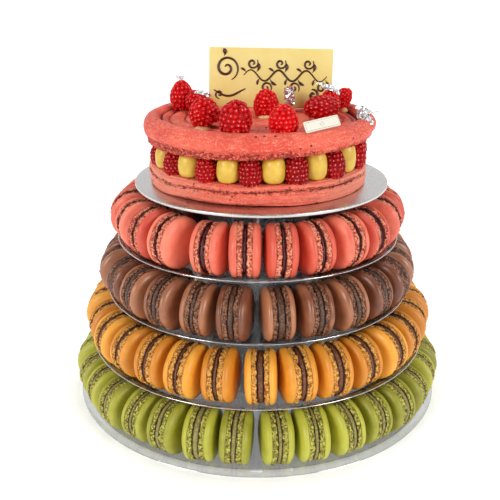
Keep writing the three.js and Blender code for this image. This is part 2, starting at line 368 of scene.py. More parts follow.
class Grower(Graph):
    """A geometry node tree with named inputs, applied to a piece."""

    def __init__(self, name, objects=(), numbers=("Uneven", "Seed"), materials=("Skin",)):
        super().__init__(bpy.data.node_groups.new(name, "GeometryNodeTree"))
        self.add_socket("Geometry", "Geometry")
        self.add_socket("Geometry", "Geometry", "OUTPUT")
        kinds = {"Object": objects, "Float": numbers, "Material": materials}
        self.sockets = {key: self.add_socket(key, kind) for kind, keys in kinds.items()
                        for key in keys}
        self.group = self.tree.nodes.new("NodeGroupInput")
        self.geometry = Wire(self, self.group.outputs["Geometry"])
        self.position = self.node("GeometryNodeInputPosition")
        self.normal = self.node("GeometryNodeInputNormal")

    def add_socket(self, key, kind, way="INPUT"):
        face = self.tree.interface
        made = face.new_socket(key, in_out=way, socket_type="NodeSocket" + kind)
        return made.identifier

    def given(self, key):
        return Wire(self, self.group.outputs[key])

    def named(self, key, kind="FLOAT"):
        return self.node("GeometryNodeInputNamedAttribute", {"Name": key}, {"data_type": kind})

    def noise(self, size_mm, seed, detail=2.0, out="Fac"):
        """Fractal noise with bumps about size_mm across, different for each seed."""
        feeds = {"Vector": self.position, "W": seed, "Scale": 1 / size_mm / MM, "Detail": detail}
        return self.node("ShaderNodeTexNoise", feeds, {"noise_dimensions": "4D"}, out)

    def cells(self, size_mm):
        """0 in the middle of rounded crumbs about size_mm across, rising towards their seams."""
        feeds = {"Vector": self.position, "Scale": 1 / size_mm / MM}
        return self.node("ShaderNodeTexVoronoi", feeds, {"feature": "F1"}, "Distance")

    def instances(self, points, instance, turn, size, **picked):
        spin = self.node("FunctionNodeEulerToRotation", {0: turn})
        feeds = {"Points": points, "Instance": instance, "Rotation": spin, "Scale": size}
        feeds.update({key.replace("_", " "): value for key, value in picked.items()})
        return self.node("GeometryNodeInstanceOnPoints", feeds)

    def shape(self, key, whole=False):
        """The object given under this name, as one instance where whole."""
        feeds = {"Object": self.given(key), "As Instance": whole}
        return self.node("GeometryNodeObjectInfo", feeds, out="Geometry")

    def own(self):
        """The turn and the size that each point carries."""
        return self.named("turn", "FLOAT_VECTOR"), self.named("size", "FLOAT_VECTOR")

    def joined(self, *parts):
        join = self.tree.nodes.new("GeometryNodeJoinGeometry")
        for part in parts:
            self.feed(join.inputs[0], part)
        return Wire(self, join.outputs[0])

    def realized(self, geometry):
        return self.node("GeometryNodeRealizeInstances", {"Geometry": geometry})

    def pushed(self, geometry, offset):
        feeds = {"Geometry": geometry, "Offset": offset}
        return self.node("GeometryNodeSetPosition", feeds)

    def painted(self, geometry, material, selection=True):
        feeds = {"Geometry": geometry, "Selection": selection, "Material": material}
        return self.node("GeometryNodeSetMaterial", feeds)

    def uneven(self, size_mm, depth, seed):
        """A wandering offset of up to about half of depth each way."""
        drift = self.vector("SUBTRACT", self.noise(size_mm, seed, 1.0, "Color"), (0.5,) * 3)
        return self.scaled(drift, depth)

    def drifted(self, geometry, size_mm):
        """The geometry with the unevenness that its Uneven and Seed inputs ask for."""
        drift = self.uneven(size_mm, self.given("Uneven"), self.given("Seed"))
        return self.pushed(geometry, drift)

    def end(self, geometry):
        output = self.tree.nodes.new("NodeGroupOutput")
        self.feed(output.inputs["Geometry"], geometry)
        return self

    def end_in_skin(self, geometry):
        return self.end(self.painted(geometry, self.given("Skin")))

    def grow(self, name, start, **values):
        """The plain mesh that this tree makes of start, which is used up."""
        modifier = start.modifiers.new("grow", "NODES")
        modifier.node_group = self.tree
        for key, value in values.items():
            modifier[self.sockets[key]] = value
        graph = bpy.context.evaluated_depsgraph_get()
        mesh = bpy.data.meshes.new_from_object(start.evaluated_get(graph))
        mesh.name = name
        start.modifiers.clear()
        discard(start)
        return linked(name, mesh)


def spread(name, spots):
    """Loose points with a turn, a size, a tone and a kind each, to set instances on."""
    mesh = new_mesh(name, [spot["at"] for spot in spots], turn=[spot["turn"] for spot in spots],
                    size=[np.ones(3) * spot["size"] for spot in spots],
                    tone=[spot.get("tone", 0.5) for spot in spots],
                    kind=[spot.get("kind", 0) for spot in spots])
    return linked(name, mesh)


def macaron_tree():
    """Macarons on points, of three fillings, with ruffled feet and a little unevenness."""
    tree = Grower("macaron_ring", ("Narrow", "Middle", "Wide"), ("Ruffle", "Uneven", "Seed"),
                  ("Shell", "Filling"))
    kinds = tree.joined(*(tree.shape(key, True) for key in ("Narrow", "Middle", "Wide")))
    ring = tree.instances(tree.geometry, kinds, *tree.own(), Pick_Instance=True,
                          Instance_Index=tree.named("kind", "INT"))
    ring = tree.realized(ring)
    seed = tree.given("Seed")
    foot = tree.named("foot")
    lumps = tree.noise(4.0, seed + 7.0) * 1.8 - 0.9
    lace = 0.5 - tree.cells(2.5) * 1.3 + lumps
    ruffle = tree.scaled(tree.normal, foot * lace * tree.given("Ruffle"))
    near_lip = foot * (1 + tree.named("crevice") * 1.5)
    ragged = tree.scaled(tree.uneven(3.2, tree.given("Ruffle"), seed + 5.0), near_lip)
    offset = tree.vector("ADD", tree.vector("ADD", ruffle, ragged),
                         tree.uneven(17.0, tree.given("Uneven"), seed + 3.0))
    ring = tree.pushed(ring, offset)
    ring = tree.painted(ring, tree.given("Shell"))
    return tree.end(tree.painted(ring, tree.given("Filling"), tree.named("fill") > 0.5))


def crust_tree():
    """A baked surface: fine grain all over, and torn crumbs where the foot mask is set."""
    tree = Grower("crust", numbers=("Grain", "Crumb", "Uneven", "Seed"))
    seed = tree.given("Seed")
    foot = tree.named("foot")
    crumb = tree.noise(3.0, seed, 3.0) * 2.0 - tree.cells(1.9) * 0.9 - 0.5
    grain = tree.noise(5.0, seed + 9.0, 3.0) - 0.5
    height = foot * crumb * tree.given("Crumb") + grain * tree.given("Grain")
    offset = tree.vector("ADD", tree.scaled(tree.normal, height),
                         tree.uneven(40.0, tree.given("Uneven"), seed + 2.0))
    return tree.end_in_skin(tree.pushed(tree.geometry, offset))


def berry_tree():
    """Raspberries on points, each a core covered in small round drupelets."""
    tree = Grower("raspberries", ("Drupelets", "Bead", "Core"))
    beads = tree.instances(tree.shape("Drupelets"), tree.shape("Bead"), *tree.own())
    berry = tree.joined(tree.realized(beads), tree.shape("Core"))
    berries = tree.realized(tree.instances(tree.geometry, berry, *tree.own()))
    return tree.end_in_skin(tree.drifted(berries, 7.0))


def bulb_tree():
    """Piped bulbs on points, a little uneven, over a core."""
    tree = Grower("cream_bulbs", ("Bulb", "Core"))
    bulbs = tree.realized(tree.instances(tree.geometry, tree.shape("Bulb"), *tree.own()))
    return tree.end_in_skin(tree.joined(tree.drifted(bulbs, 14.0), tree.shape("Core")))


def piping_tree():
    """Round beads of icing along lines, thick where the lines' points are large."""
    tree = Grower("piping", numbers=("Thickness",))
    curve = tree.node("GeometryNodeMeshToCurve", {"Mesh": tree.geometry})
    width = tree.named("width")
    curve = tree.node("GeometryNodeSetCurveRadius", {"Curve": curve, "Radius": width})
    circle = tree.node("GeometryNodeCurvePrimitiveCircle",
                       {"Resolution": 8, "Radius": tree.given("Thickness")})
    feeds = {"Curve": curve, "Profile Curve": circle, "Scale": width, "Fill Caps": True}
    bead = tree.node("GeometryNodeCurveToMesh", feeds)
    bead = tree.node("GeometryNodeSetShadeSmooth", {"Geometry": bead})
    return tree.end_in_skin(tree.realized(bead))


# ---- finishes

def shell_finish(name, shell, dark, crumb, pit_shade, rough=0.42, coat=0.12):
    """A macaron shell: a smooth finely grained cap over a frilly, pitted foot, with painted
    shade in its holes and crevices.
    """
    made = Finish(name, Coat_Roughness=0.3, Specular_IOR_Level=0.45, Subsurface_Weight=0.12,
                  Subsurface_Scale=0.004, Subsurface_Radius=(1.0, 0.3, 0.15))
    tone = made.attribute("tone")
    lace = made.noise(0.7, 3.0, 0.7) - 0.5
    foot = made.smooth(made.attribute("foot") + lace * 1.4, 0.2, 0.8)
    crevice = made.smooth(made.attribute("crevice") - lace * 1.5, 0.4, 0.85)
    cloud = made.noise(0.09, 3.0)
    grain = made.noise(2.2, 2.0)
    cap = made.mix(made.smooth(cloud * 0.5 + tone * 0.5, 0.3, 0.72), dark, shell)
    cap = made.mix(made.smooth(grain, 0.55, 0.75) * 0.2, cap, crumb)
    seams = made.cells(0.42) * 0.6 + made.cells(1.0) * 0.4
    patches = made.noise(0.22, 2.0) - 0.5
    crust = made.mix(made.smooth(made.noise(0.7, 2.0), 0.38, 0.62), dark, crumb)
    # Painted shade: the holes of the foot are darkened towards the darker colour.
    shaded_pits = made.smooth(seams - lace * 1.1 + patches * 0.8, 0.46, 0.72)
    torn_with_pit_shade = made.mix(shaded_pits * 0.8, crust, pit_shade)
    base = made.mix(foot, cap, torn_with_pit_shade)
    # Painted shade: the crevices beside the filling and under the cap are darkened to a dim copy
    # of that colour.
    made.set("Base Color", made.mix(crevice, base, light(pit_shade, 0.4)))
    made.set("Roughness", rough + foot * 0.3 + (grain - 0.5) * 0.1)
    made.set("Coat Weight", (1 - foot) * coat)
    made.bump(grain * 0.06 + cloud * 0.15 + foot * (lace * 0.7 - seams * 1.5), 1.2)
    return made.material


def filling_finish(name, pale, dark, rough):
    made = Finish(name)
    lumps = made.noise(0.7, 3.0)
    base = made.mix(made.smooth(lumps, 0.38, 0.66), dark, pale)
    # Painted shade: the filling is darkened where it meets the shells.
    made.set("Base Color", made.mix(made.attribute("crevice"), base, light(dark, 0.2)))
    made.set("Roughness", rough + (lumps - 0.5) * 0.3)
    made.bump(lumps, 0.9)
    return made.material


def cake_finish():
    """The large shell: coral crust with coarse grain, pinholes and a torn, pitted foot; painted
    shade darkens its grooves, crack, hollow, holes and pinholes, and painted light brightens the
    sides of the lower shell.
    """
    made = Finish("cake_crust", Coat_Weight=0.04, Coat_Roughness=0.4, Specular_IOR_Level=0.38)
    foot = made.attribute("foot")
    cloud = made.noise(0.035, 3.0)
    streaks = made.stretched(0.16, (1, 1, 4))
    grain = made.noise(0.8, 3.0, 0.65)
    groove = made.smooth(made.attribute("groove") + (streaks - 0.5) * 0.9, 0.2, 0.95)
    crust = made.mix(made.smooth(cloud, 0.35, 0.65), (223, 75, 56), (242, 103, 78))
    chalky_and_side_light = made.smooth(grain * 0.75 + streaks * 0.35, 0.52, 0.72)
    # Painted light: the pale attribute lightens the lower shell towards its sides.
    chalky_and_side_light = chalky_and_side_light * 0.75 + made.attribute("pale") * (1 - chalky_and_side_light)
    crust = made.mix(chalky_and_side_light, crust, (255, 164, 136))
    dark = made.smooth(grain * 0.9 + streaks * 0.25, 0.38, 0.52)
    crust = made.mix((1 - dark) * 0.6, crust, (186, 48, 36))
    # Painted shade in the grooves of the spiral, along the crack and in the hollow.
    crust = made.mix(groove * 0.9, crust, (132, 16, 12))
    seams = made.cells(0.5) * 0.5 + made.cells(1.1) * 0.5
    patches = made.noise(0.22, 2.0) - 0.5
    # Painted shade in the holes of the torn foot.
    shaded_pits = made.smooth(seams + patches * 0.8 + foot * 0.3, 0.78, 0.94)
    shaded_pits = shaded_pits * made.smooth(foot, 0.05, 0.6)
    crust = made.mix(shaded_pits * 0.85, crust, (140, 22, 14))
    rare = made.cells(0.15, "Color")
    chosen = made.node("ShaderNodeSeparateColor", {0: rare}) > 0.4
    near = 1 - made.smooth(made.cells(0.15) / (0.3 + grain), 0.12, 0.21)
    pinholes = chosen * near * (1 - foot)
    # Painted shade darkens the pinholes.
    made.set("Base Color", made.mix(pinholes * 0.9, crust, (88, 10, 6)))
    made.set("Roughness", 0.56 + foot * 0.2)
    made.bump(grain * 0.9 + streaks * 0.6 - shaded_pits * 0.8 - foot * seams - pinholes * 1.4, 1.2)
    return made.material


def berry_finish():
    """Raspberry skin: bright moist red, with a painted glint on each drupelet's top and painted
    shade between them.
    """
    made = Finish("raspberry_skin", Coat_Weight=0.12, Coat_Roughness=0.05,
                  Specular_IOR_Level=0.1, Subsurface_Weight=0.2, Subsurface_Scale=0.0015,
                  Subsurface_Radius=(1.0, 0.08, 0.05))
    cloud = made.noise(0.11, 2.0)
    tone = made.attribute("tone")
    ripe_and_glints = made.mix(tone, (98, 0, 8), (222, 4, 12))
    ripe_and_glints = made.mix(made.smooth(cloud, 0.45, 0.7) * 0.4 * tone, ripe_and_glints, (238, 22, 18))
    # Painted highlight: a pale glint on the top of each drupelet.
    tip = made.smooth(made.attribute("crown"), 0.4, 0.75)
    glint = 0.15 + made.smooth(made.noise(0.3, 1.0), 0.42, 0.6) * 0.45
    ripe_and_glints = made.mix(tip * glint, ripe_and_glints, (255, 176, 162))
    # Painted shade low on each drupelet and on the core, between the drupelets.
    made.set("Base Color", made.mix(made.attribute("deep") * 0.55, ripe_and_glints, (110, 0, 6)))
    bloom = made.noise(1.4, 2.0)
    made.set("Roughness", 0.3 + bloom * 0.16)
    made.bump(bloom, 0.15)
    return made.material


def mottled(name, first, second, cloud, rough, fine=None, levels=None, relief=(0, 0, 0),
            **constants):
    """A material that drifts from one colour to another with a noise, its cloud.

    A noise is its bumps per mm, detail and roughness. The gloss is a base, then the parts
    that the cloud and the fine noise add. The relief is a depth in mm, then their parts.
    """
    made = Finish(name, **constants)
    cloud = made.noise(*cloud)
    fine = made.noise(*fine) if fine else cloud
    part = made.smooth(cloud, *levels) if levels else cloud
    made.set("Base Color", made.mix(part, first, second))
    base, by_cloud, by_fine = rough
    made.set("Roughness", base + cloud * by_cloud + fine * by_fine)
    depth, by_cloud, by_fine = relief
    if depth:
        made.bump(cloud * by_cloud + fine * by_fine, depth)
    return made.material


def cream_finish():
    return mottled("yellow_cream", (209, 166, 50), (224, 188, 70), (0.12, 3.0),
                   (0.36, 0.12, 0), (1.1, 2.0), (0.35, 0.7), (0.8, 0.35, 0.08),
                   Coat_Weight=0.2, Coat_Roughness=0.15, Subsurface_Weight=0.1,
                   Subsurface_Scale=0.003, Subsurface_Radius=(1.0, 0.8, 0.35))


def dab_finish():
    """Pale cream that holds the berries on, tinted by their juice."""
    return mottled("pale_cream", (255, 224, 164), (250, 190, 140), (0.3, 2.0),
                   (0.34, 0.12, 0), levels=(0.35, 0.7), relief=(0.8, 1, 0),
                   Subsurface_Weight=0.1, Subsurface_Scale=0.002)


def clear_finish():
    """Clear moulded plastic: a faint mirror, whiter and denser at rims by a painted highlight,
    with soft scuffs.
    """
    made = Finish("clear_plastic", Metallic=0.9, IOR=1.5)
    scuffs = made.noise(0.05, 4.0)
    rim = made.attribute("rim")
    # Painted highlight: the rims and beads are whiter.
    made.set("Base Color", made.mix(rim, (186, 188, 190), (236, 238, 240)))
    made.set("Roughness", 0.04 + made.smooth(scuffs, 0.45, 0.8) * 0.1)
    made.set("Alpha", 0.24 + rim * 0.4 + made.attribute("dense") * 0.34)
    return made.material


def foil_finish():
    """Silver cake card: bright foil over board, with a fine pressed grain."""
    return mottled("silver_foil", (196, 194, 192), (222, 220, 218), (0.02, 2.0),
                   (0.2, 0, 0.14), (1.3, 3.0, 0.6), relief=(0.16, 0, 1), Metallic=1.0)


def leaf_finish():
    return mottled("silver_leaf", (222, 224, 226), (250, 250, 250), (0.8, 3.0),
                   (0.2, 0.16, 0), relief=(0.3, 1, 0), Metallic=1.0)


def plaque_finish():
    """White chocolate: pale butter yellow with faint clouding from casting."""
    return mottled("white_chocolate", (230, 208, 122), (235, 218, 140),
                   (0.03, 4.0), (0.34, 0, 0.12), (0.5, 3.0), (0.3, 0.7), (0.5, 0.5, 0.15),
                   Coat_Weight=0.1, Coat_Roughness=0.25)


def card_finish():
    return mottled("ivory_card", (226, 220, 200), (240, 236, 222), (1.2, 3.0),
                   (0.35, 0.1, 0), relief=(0.06, 1, 0),
                   Coat_Weight=0.15, Coat_Roughness=0.2)


def ink_finish(name, dark, pale):
    return mottled(name, dark, pale, (0.4, 2.0), (0.25, 0.15, 0),
                   Coat_Weight=0.2, Coat_Roughness=0.2)


# ---- stand

PLATE_SECTORS = 160
DENSE_RADIUS = 154
DENSE_FADE = 161
DRUM_SECTORS = 192
DRUM_FLOOR = 1.5
DRUM_NECK = 4.5
FLANGE_THICK = 3.0
FLUTES = 24
FLUTE_DEPTH = 0.7


def plate_profile(tier):
    """A shallow dish with a bead inside its rim, which is raised on the upper tiers."""
    edge, bead, top = tier["plate"], tier["plate"] - tier["rim"], tier["bead"]
    lift = tier["lift"]
    return [
        (0, 0), (edge * 0.5, 0), (bead - 2.0, 0), (bead + 0.4, lift * 0.32),
        (edge - 0.9, lift * 0.86), (edge - 0.2, lift + 0.12), (edge, lift + 0.45),
        (edge - 0.02, lift + 0.85), (edge - 0.3, lift + PLATE_EDGE),
        (edge - 1.1, lift + PLATE_EDGE - 0.25), (bead + 1.0, max(top - 0.5, lift * 0.5 + 1.0)),
        (bead + 0.3, top), (bead - 0.3, top), (bead - 0.8, top - 0.4),
        (bead - 2.0, PLATE_FLOOR + 0.15), (bead - 2.8, PLATE_FLOOR),
        (edge * 0.5, PLATE_FLOOR), (0, PLATE_FLOOR),
    ]


def add_plate(tier, level, clear):
    edge, bead = tier["plate"], tier["plate"] - tier["rim"]

    def rim(radius, height):
        """1 on the outer rim and on the bead, where a painted highlight makes the plastic
        whiter.
        """
        on_bead = between(radius, bead - 1.5, bead - 0.8, bead + 0.4, bead + 1.2)
        return smoothstep(radius, edge - 1.5, edge - 0.4) + on_bead

    def dense(radius, height):
        """1 on the lowest plate inside its rim, where it is the least clear."""
        return (level == 0) * smoothstep(-radius, -DENSE_FADE, -DENSE_RADIUS)

    profile = plate_profile(tier)
    made = turned(tier["name"] + "_tray", profile, PLATE_SECTORS, rim=rim, dense=dense)
    moved(made, (0, 0, level * TIER_PITCH))
    place(made, "clear_plastic", tier["name"] + "_plate", finish=clear)


def drum_profile(height, capped):
    """The closed outline of a drum's wall, with a shallow flange at its top where capped."""
    low, high = DRUM_BOTTOM - 0.2, DRUM_TOP - 0.2
    inner = high - DRUM_WALL
    outside = [(high, height)]
    if capped:
        reach = DRUM_CAP - CLEARANCE
        outside = [(high, height - DRUM_NECK), (reach, height - FLANGE_THICK), (reach, height)]
    return [(0, 0), (low, 0), *outside, (inner, height), (inner, DRUM_FLOOR), (0, DRUM_FLOOR)]


def fluted(radius, height, angles):
    """Shallow upright ribs on the drum's wall."""
    return radius - FLUTE_DEPTH * (0.5 - 0.5 * np.cos(FLUTES * angles)) ** 6


def add_drum(tier, level, clear):
    capped = level == len(TIERS) - 1
    headroom = BOARD_UNDER - level * TIER_PITCH if capped else TIER_PITCH
    height = headroom - PLATE_FLOOR - 2 * CLEARANCE
    profile = drum_profile(height, capped)
    made = turned(tier["name"] + "_riser", profile, DRUM_SECTORS, fluted)
    moved(made, (0, 0, level * TIER_PITCH + PLATE_FLOOR + CLEARANCE))
    place(made, "clear_plastic", tier["name"] + "_drum", finish=clear)


# ---- macarons

FOOT_SECTORS = 96
CAP_SECTORS = FOOT_SECTORS // 2
MACARON_DIAMETER = 43.0
SHELL_HALF = 12.65
SHELL_LIP = 1.2
RUFFLE = 1.5
MACARON_UNEVEN = 1.0
# Along a ring the macarons differ by up to this in diameter, distance, yaw and lean.
UNEVEN_SIZE = 0.6
UNEVEN_RING = 0.8
UNEVEN_YAW = 3
UNEVEN_LEAN = 2
WOBBLE_RATE = 2.4
# Radius, height over the middle, how frilly and how much painted shade darkens its crevices,
# from the lip outwards.
FOOT_LINE = [
    (18.2, 1.2, 0, 1), (20.0, 1.3, 0.5, 1), (20.9, 1.7, 0.95, 0.6), (21.3, 2.4, 1, 0.12),
    (21.35, 3.3, 1, 0), (21.3, 4.2, 1, 0), (21.0, 5.0, 0.95, 0.15), (20.5, 5.6, 0.7, 0.55),
]
CAP_LINE = [
    (20.9, 6.0, 0.25, 0.15), (21.35, 6.8, 0, 0), (21.3, 8.2, 0, 0), (20.5, 9.7, 0, 0),
    (18.8, 10.95, 0, 0), (15.6, 11.9, 0, 0), (10.8, 12.4, 0, 0), (5.4, 12.6, 0, 0),
]
# How far each ring of the filling stands back, its part of the half thickness, and how much
# painted shade darkens it.
FILLING_LINE = [(1.4, -1.0, 1), (0.4, -0.72, 0.6), (0, -0.35, 0), (0, 0.35, 0),
                (0.4, 0.72, 0.6), (1.4, 1.0, 1)]


def ring_row(radius, height, sectors, *values):
    """One ring of points, each followed by its attribute values."""
    angles = np.linspace(0, 2 * math.pi, sectors, endpoint=False)
    return [(radius * math.sin(a), -radius * math.cos(a), height, *values) for a in angles]


def macaron(name, filling_reach, gap):
    """Two shells, gap from the middle to each foot, and their filling, disc axis along X."""
    squeeze = (SHELL_HALF - gap) / (SHELL_HALF - SHELL_LIP)

    def rise(height):
        return gap + (height - SHELL_LIP) * squeeze

    shell = [[(0, 0, rise(SHELL_LIP), 0, 1, 0)]]
    shell += [ring_row(radius, rise(height), FOOT_SECTORS, foot, crevice, 0)
              for radius, height, foot, crevice in FOOT_LINE]
    shell += [ring_row(radius, rise(height), CAP_SECTORS, foot, crevice, 0)
              for radius, height, foot, crevice in CAP_LINE]
    shell.append([(0, 0, SHELL_HALF, 0, 0, 0)])
    thick = gap + 0.25
    filling = [[(0, 0, -thick, 0, 0, 1)]]
    filling += [ring_row(filling_reach - inset, thick * part, CAP_SECTORS, 0, shade, 1)
                for inset, part, shade in FILLING_LINE]
    filling.append([(0, 0, thick, 0, 0, 1)])
    points, faces = [], []
    for rows, flip in ((shell, 1), (shell, -1), (filling, 1)):
        start = len(points)
        points.extend((x, y, flip * z, *rest) for row in rows for x, y, z, *rest in row)
        for face in laced([len(row) for row in rows]):
            face = tuple(start + i for i in face)
            faces.append(face if flip > 0 else face[::-1])
    x, y, z, foot, crevice, fill = np.array(points).T
    points = np.stack([z, x, y], axis=-1)
    return new_piece(name, points, faces, foot=foot, crevice=crevice, fill=fill)


def wobble(index, phase):
    """From -1 to 1, as if at random from each macaron to the next."""
    return math.sin(WOBBLE_RATE * index + phase)


def macaron_spots(tier, level):
    """Where each macaron of a tier stands: arcs of touching macarons with gaps between."""
    count, arcs, phase = tier["macarons"], tier["arcs"], tier["macarons"]
    gap = math.degrees(tier["break_width"] / tier["ring"])
    step = (360 - arcs * gap) / count
    luck = random.Random(level)
    angle, placed, spots = tier["break_angle"], 0, []
    for arc in range(1, arcs + 1):
        in_arc = arc * count // arcs - placed
        for i in range(in_arc):
            index = placed + i
            diameter = tier["diameter"] - UNEVEN_SIZE * (1 + wobble(index, 1.3))
            at = angle + gap / 2 + (i + 0.5) * step
            x, y = polar(tier["ring"] + UNEVEN_RING * wobble(index, 3.7), at)
            z = level * TIER_PITCH + PLATE_FLOOR + CLEARANCE + diameter / 2
            yaw = math.radians(at + UNEVEN_YAW * wobble(index, 0.4 + phase))
            lean = math.radians(UNEVEN_LEAN * wobble(index, 2.1 + phase))
            spots.append(dict(at=(x, y, z), turn=(luck.uniform(0, 6.28), -lean, yaw),
                              size=diameter / MACARON_DIAMETER, tone=luck.random(),
                              kind=luck.choice(tier["kinds"])))
        placed += in_arc
        angle += gap + in_arc * step
    return spots


def add_macarons(tier, level, tree, shell, filling):
    name = tier["name"]
    bases = [macaron(f"base_{i}", tier["reach"], gap) for i, gap in enumerate(tier["gaps"])]
    made = tree.grow(name + "_macarons", spread("macaron_points", macaron_spots(tier, level)),
                     Narrow=bases[0], Middle=bases[1], Wide=bases[2], Ruffle=RUFFLE * MM,
                     Uneven=MACARON_UNEVEN * MM, Seed=10.0 * level + 1, Shell=shell,
                     Filling=filling)
    discard(*bases)
    place(made, tier["slot"], *nodes_named(name + "_macarons"))


# Colours of each tier's shells, its clouds, crumb and painted shade for the foot's holes and
# crevices, then gloss and coat where they differ; and the colours and gloss of its filling.
TIER_FINISHES = [
    (("pistachio_shell", (186, 185, 62), (144, 142, 38), (212, 206, 100), (92, 78, 18)),
     ("pistachio_filling", (166, 154, 84), (124, 112, 54), 0.5)),
    (("caramel_shell", (242, 170, 56), (212, 134, 34), (246, 188, 94), (136, 64, 12)),
     ("caramel_filling", (134, 80, 46), (84, 42, 18), 0.45)),
    (("chocolate_shell", (176, 114, 78), (118, 66, 42), (172, 120, 86), (48, 18, 8), 0.3, 0.26),
     ("ganache_filling", (122, 80, 54), (54, 26, 14), 0.4)),
    (("coral_shell", (248, 134, 106), (214, 86, 64), (254, 168, 132), (150, 40, 22)),
     ("jam_filling", (104, 14, 22), (50, 4, 10), 0.22)),
]


def add_tiers():
    clear = clear_finish()
    tree = macaron_tree()
    finishes = [(shell_finish(*shell), filling_finish(*filling))
                for shell, filling in TIER_FINISHES]
    for level, tier in enumerate(TIERS):
        add_plate(tier, level, clear)
        add_drum(tier, level, clear)
        add_macarons(tier, level, tree, *finishes[level])


# ---- cake

def add_board():
    """A flat round card whose edge is a little rounded."""
    edge, thick = BOARD_RADIUS - 0.05, BOARD_THICK - 0.05
    profile = [(0, 0.05), (edge * 0.6, 0.05), (edge - 0.5, 0.05), (edge - 0.1, 0.25),
               (edge, 0.7), (edge, thick - 0.7), (edge - 0.15, thick - 0.2),
               (edge - 0.7, thick), (edge * 0.6, thick), (0, thick)]
    made = turned("silver_board", profile, PLATE_SECTORS)
    moved(made, (BOARD_SHIFT, 0, BOARD_UNDER))
    place(made, "silver_card", "board", finish=foil_finish())


LOWER_SECTORS = 300
# The outline of the lower shell from the middle of its underside to the middle of its top.
LOWER_LINE = [(0, 0), (60, 0), (89.4, 0.1), (92.0, 1.1), (93.0, 3.8), (93.2, 8.2),
              (92.9, 10.4), (91.9, 11.2), (92.8, 12.0), (93.2, 13.4), (92.7, 15.2),
              (91.0, LOWER_SHELL_HIGH - 0.6), (87, LOWER_SHELL_HIGH), (60, LOWER_SHELL_HIGH),
              (0, LOWER_SHELL_HIGH)]
LIFT_ANGLE = 0.35
LIFT_INWARD = 2.2
LIFT_UP = 0.9


def lifted(angles):
    """1 where the front of the crust lifts off the board."""
    return smoothstep(np.cos(angles + LIFT_ANGLE), 0.75, 0.97)


def standing_back(radius, height, angles):
    """The lower edge of the crust stands back a little where it is lifted."""
    return radius - LIFT_INWARD * lifted(angles) * (height < 1.6) * (radius > 80)


def add_lower_shell(tree, crust):
    """A disc with a crack and a torn band round its side, and soft wrinkles all over it."""
    outline = rounded(LOWER_LINE, 5)
    points = turned_points(outline, LOWER_SECTORS, standing_back)
    radius, height = np.hypot(points[:, 0], points[:, 1]), points[:, 2]
    around = np.arctan2(points[:, 0], -points[:, 1])
    near_board = (radius > 80) * smoothstep(3.0 - height, 0, 1.5)
    points[:, 2] += LIFT_UP * lifted(around) * near_board
    edge = smoothstep(radius, 84, 90)
    band = between(height, 8.4, 10.4, 12.0, 14.0)
    foot = edge * (0.25 * smoothstep(height, 4.0, 8.0) + 0.6 * band)
    crack = between(height, 10.2, 11.2, 11.2, 12.2)
    # Painted shade along the crack round the side.
    groove = 0.9 * edge * crack * (0.7 + 0.3 * np.sin(9 * around + 1.0))
    high = LOWER_SHELL_HIGH
    wrinkles = edge * between(height, 0.5, 3.0, high - 1, high)
    waves = np.sin(1.5 * height + 2.2 * np.sin(2 * around + 0.6) + np.sin(5 * around))
    swells = np.sin(0.9 * height + 3 * around + 1.5 * np.sin(7 * around))
    inward = wrinkles * (0.55 * (0.5 + 0.5 * waves) + 0.45 * (0.5 + 0.5 * swells))
    points[:, :2] *= (1 - inward / np.maximum(radius, 1))[:, None]
    points[:, 2] += wrinkles * (0.8 * np.sin(3 * around + 1.0) + 0.4 * np.sin(8 * around))
    # Painted light: lighter towards the left and right sides.
    pale = 0.12 + 0.6 * smoothstep(np.abs(np.sin(around)), 0.25, 0.95)
    made = new_piece("lower_shell_base", points, ring_faces(len(outline) - 2, LOWER_SECTORS),
                     foot=foot, groove=groove, pale=pale)
    moved(made, (0, 0, LOWER_SHELL_Z))
    made = tree.grow("lower_cake_shell", made, Grain=1.5 * MM, Crumb=1.7 * MM, Uneven=1.4 * MM,
                     Seed=3.0, Skin=crust)
    place(made, "cake_shell", "lower_shell")


UPPER_SECTORS = 288
# The outline of the upper shell from its underside over its rim to the foot of the spiral.
UPPER_LINE = [(0, 0), (60, 0), (90, 0.1), (93.4, 0.6), (94.8, 2.2), (94.7, 4.0),
              (95.4, 5.6), (97.1, 7.4), (98.0, 9.8), (97.8, 12.4), (96.2, 15.6),
              (93.2, 18.2), (89.0, 19.4), (85.8, 18.2), (83.4, 15.0), (82.2, 12.8)]
SPIRAL_PITCH = 13.0
SPIRAL_DEPTH = 4.2
SPIRAL_OUTER = 82.0
SPIRAL_START = 110.0
HOLLOW_DEPTH = 2.2
FOLD_PITCH = 6.5


def spiral_coil(radius, degrees):
    """0 in the valleys and 1 on the crests of coils that wind inwards from the start."""
    part = ((degrees - SPIRAL_START) % 360) / 360
    phase = ((SPIRAL_OUTER - radius) / SPIRAL_PITCH - part) % 1.0
    coil = np.sqrt(np.maximum(0, 1 - (2 * phase - 1) ** 2))
    fade = smoothstep(radius, 2, 12)
    return coil * fade + 0.6 * (1 - fade)


def upper_points():
    """Rings of points out and over the rim and in along the spiral, and the painted shade of
    their grooves.
    """
    angles = np.linspace(0, 2 * math.pi, UPPER_SECTORS, endpoint=False)
    rings = []
    for radius, height in rounded(UPPER_LINE, 4)[1:]:
        # Painted shade on the inner wall of the rim.
        inside = float(height > 10) * smoothstep(-radius, -85.5, -82.4)
        rings.append((radius, height + 0 * angles, inside + 0 * angles))
    for radius in np.arange(SPIRAL_OUTER - 0.6, 1.0, -1.0):
        dip = 1 - spiral_coil(radius, np.degrees(angles))
        # Painted shade in the valleys of the spiral.
        rings.append((radius, SPIRAL_CREST - SPIRAL_DEPTH * dip, smoothstep(dip, 0.25, 0.9)))
    points, groove = [(0, 0, 0)], [0]
    for radius, heights, grooves in rings:
        points.extend(zip(radius * np.sin(angles), -radius * np.cos(angles), heights))
        groove.extend(grooves)
    points.append((0, 0, SPIRAL_CREST - 0.4 * SPIRAL_DEPTH))
    groove.append(0)
    return np.array(points, float), np.array(groove), len(rings)


